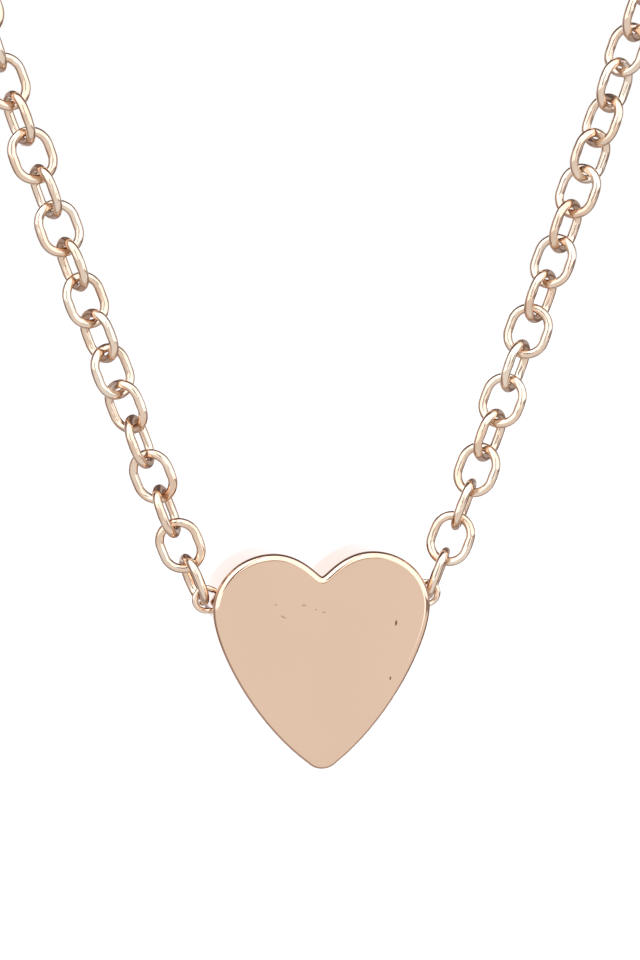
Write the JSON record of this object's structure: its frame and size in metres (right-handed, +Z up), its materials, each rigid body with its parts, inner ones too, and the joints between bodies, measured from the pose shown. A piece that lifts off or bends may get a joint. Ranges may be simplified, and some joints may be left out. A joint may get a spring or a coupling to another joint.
{
  "type": "pendant necklace",
  "caption": "Fine necklace: a thick polished heart hung by two side loops on an oval cable chain, with a lobster clasp.",
  "frame": {"origin": "middle of the clasp at the top of the loop, on the chain's centre line, where the necklace is held", "axes": "+X to the right of the heart as its front is seen, +Y towards the heart's back, +Z up"},
  "size_m": [0.0856, 0.0042, 0.1854],
  "materials": {
    "heart": "mirror polished rose gold plate on a cast heart",
    "chain": "polished rose gold plated drawn wire",
    "clasp": "polished rose gold plated casting",
    "spring": "drawn stainless spring wire"
  },
  "bodies": {
    "neck_loop": {"left_chain_over_neck": "chain", "right_chain_over_neck": "chain", "clasp_body": "clasp", "clasp_pin": "clasp", "clasp_spring": "spring", "clasp_ring": "clasp", "end_ring": "clasp"},
    "chain_arms": {"left_chain_hanging": "chain", "right_chain_hanging": "chain"},
    "link_row_17": {"left_link_17": "chain", "right_link_17": "chain"},
    "link_row_16": {"left_link_16": "chain", "right_link_16": "chain"},
    "link_row_15": {"left_link_15": "chain", "right_link_15": "chain"},
    "link_row_14": {"left_link_14": "chain", "right_link_14": "chain"},
    "link_row_13": {"left_link_13": "chain", "right_link_13": "chain"},
    "link_row_12": {"left_link_12": "chain", "right_link_12": "chain"},
    "link_row_11": {"left_link_11": "chain", "right_link_11": "chain"},
    "link_row_10": {"left_link_10": "chain", "right_link_10": "chain"},
    "link_row_09": {"left_link_09": "chain", "right_link_09": "chain"},
    "link_row_08": {"left_link_08": "chain", "right_link_08": "chain"},
    "link_row_07": {"left_link_07": "chain", "right_link_07": "chain"},
    "link_row_06": {"left_link_06": "chain", "right_link_06": "chain"},
    "link_row_05": {"left_link_05": "chain", "right_link_05": "chain"},
    "link_row_04": {"left_link_04": "chain", "right_link_04": "chain"},
    "link_row_03": {"left_link_03": "chain", "right_link_03": "chain"},
    "link_row_02": {"left_link_02": "chain", "right_link_02": "chain"},
    "link_row_01": {"left_link_01": "chain", "right_link_01": "chain"},
    "heart": {"heart_plate": "heart", "heart_loop_left": "heart", "heart_loop_right": "heart"},
    "clasp_lever": {"clasp_lever": "clasp"}
  },
  "joints": [
    {"name": "chain_swing", "type": "hinge", "parent": "neck_loop", "child": "chain_arms", "pos_m": [0, 0, -0.05082], "axis": [1, 0, 0], "range_deg": [-15, 15]},
    {"name": "link_row_17_swing", "type": "hinge", "parent": "chain_arms", "child": "link_row_17", "pos_m": [0, 0, -0.1503], "axis": [1, 0, 0], "range_deg": [-40, 40]},
    {"name": "link_row_16_swing", "type": "hinge", "parent": "link_row_17", "child": "link_row_16", "pos_m": [0, 0, -0.15179], "axis": [1, 0, 0], "range_deg": [-40, 40]},
    {"name": "link_row_15_swing", "type": "hinge", "parent": "link_row_16", "child": "link_row_15", "pos_m": [0, 0, -0.15328], "axis": [1, 0, 0], "range_deg": [-40, 40]},
    {"name": "link_row_14_swing", "type": "hinge", "parent": "link_row_15", "child": "link_row_14", "pos_m": [0, 0, -0.15476], "axis": [1, 0, 0], "range_deg": [-40, 40]},
    {"name": "link_row_13_swing", "type": "hinge", "parent": "link_row_14", "child": "link_row_13", "pos_m": [0, 0, -0.15624], "axis": [1, 0, 0], "range_deg": [-40, 40]},
    {"name": "link_row_12_swing", "type": "hinge", "parent": "link_row_13", "child": "link_row_12", "pos_m": [0, 0, -0.15773], "axis": [1, 0, 0], "range_deg": [-40, 40]},
    {"name": "link_row_11_swing", "type": "hinge", "parent": "link_row_12", "child": "link_row_11", "pos_m": [0, 0, -0.15921], "axis": [1, 0, 0], "range_deg": [-40, 40]},
    {"name": "link_row_10_swing", "type": "hinge", "parent": "link_row_11", "child": "link_row_10", "pos_m": [0, 0, -0.16068], "axis": [1, 0, 0], "range_deg": [-40, 40]},
    {"name": "link_row_09_swing", "type": "hinge", "parent": "link_row_10", "child": "link_row_09", "pos_m": [0, 0, -0.16216], "axis": [1, 0, 0], "range_deg": [-40, 40]},
    {"name": "link_row_08_swing", "type": "hinge", "parent": "link_row_09", "child": "link_row_08", "pos_m": [0, 0, -0.16364], "axis": [1, 0, 0], "range_deg": [-40, 40]},
    {"name": "link_row_07_swing", "type": "hinge", "parent": "link_row_08", "child": "link_row_07", "pos_m": [0, 0, -0.16511], "axis": [1, 0, 0], "range_deg": [-40, 40]},
    {"name": "link_row_06_swing", "type": "hinge", "parent": "link_row_07", "child": "link_row_06", "pos_m": [0, 0, -0.16658], "axis": [1, 0, 0], "range_deg": [-40, 40]},
    {"name": "link_row_05_swing", "type": "hinge", "parent": "link_row_06", "child": "link_row_05", "pos_m": [0, 0, -0.16806], "axis": [1, 0, 0], "range_deg": [-40, 40]},
    {"name": "link_row_04_swing", "type": "hinge", "parent": "link_row_05", "child": "link_row_04", "pos_m": [0, 0, -0.16952], "axis": [1, 0, 0], "range_deg": [-40, 40]},
    {"name": "link_row_03_swing", "type": "hinge", "parent": "link_row_04", "child": "link_row_03", "pos_m": [0, 0, -0.17099], "axis": [1, 0, 0], "range_deg": [-40, 40]},
    {"name": "link_row_02_swing", "type": "hinge", "parent": "link_row_03", "child": "link_row_02", "pos_m": [0, 0, -0.17246], "axis": [1, 0, 0], "range_deg": [-40, 40]},
    {"name": "link_row_01_swing", "type": "hinge", "parent": "link_row_02", "child": "link_row_01", "pos_m": [0, 0, -0.17392], "axis": [1, 0, 0], "range_deg": [-40, 40]},
    {"name": "heart_swing", "type": "hinge", "parent": "link_row_01", "child": "heart", "pos_m": [0, 0, -0.17529], "axis": [1, 0, 0], "range_deg": [-50, 50]},
    {"name": "clasp_lever_turn", "type": "hinge", "parent": "neck_loop", "child": "clasp_lever", "pos_m": [-0.0015, 0, 0.00075], "axis": [0, 1, 0], "range_deg": [0, 18], "stiffness_Nm_per_rad": 0.002, "springref_deg": -20.05, "deforming": ["clasp_spring"]}
  ]
}
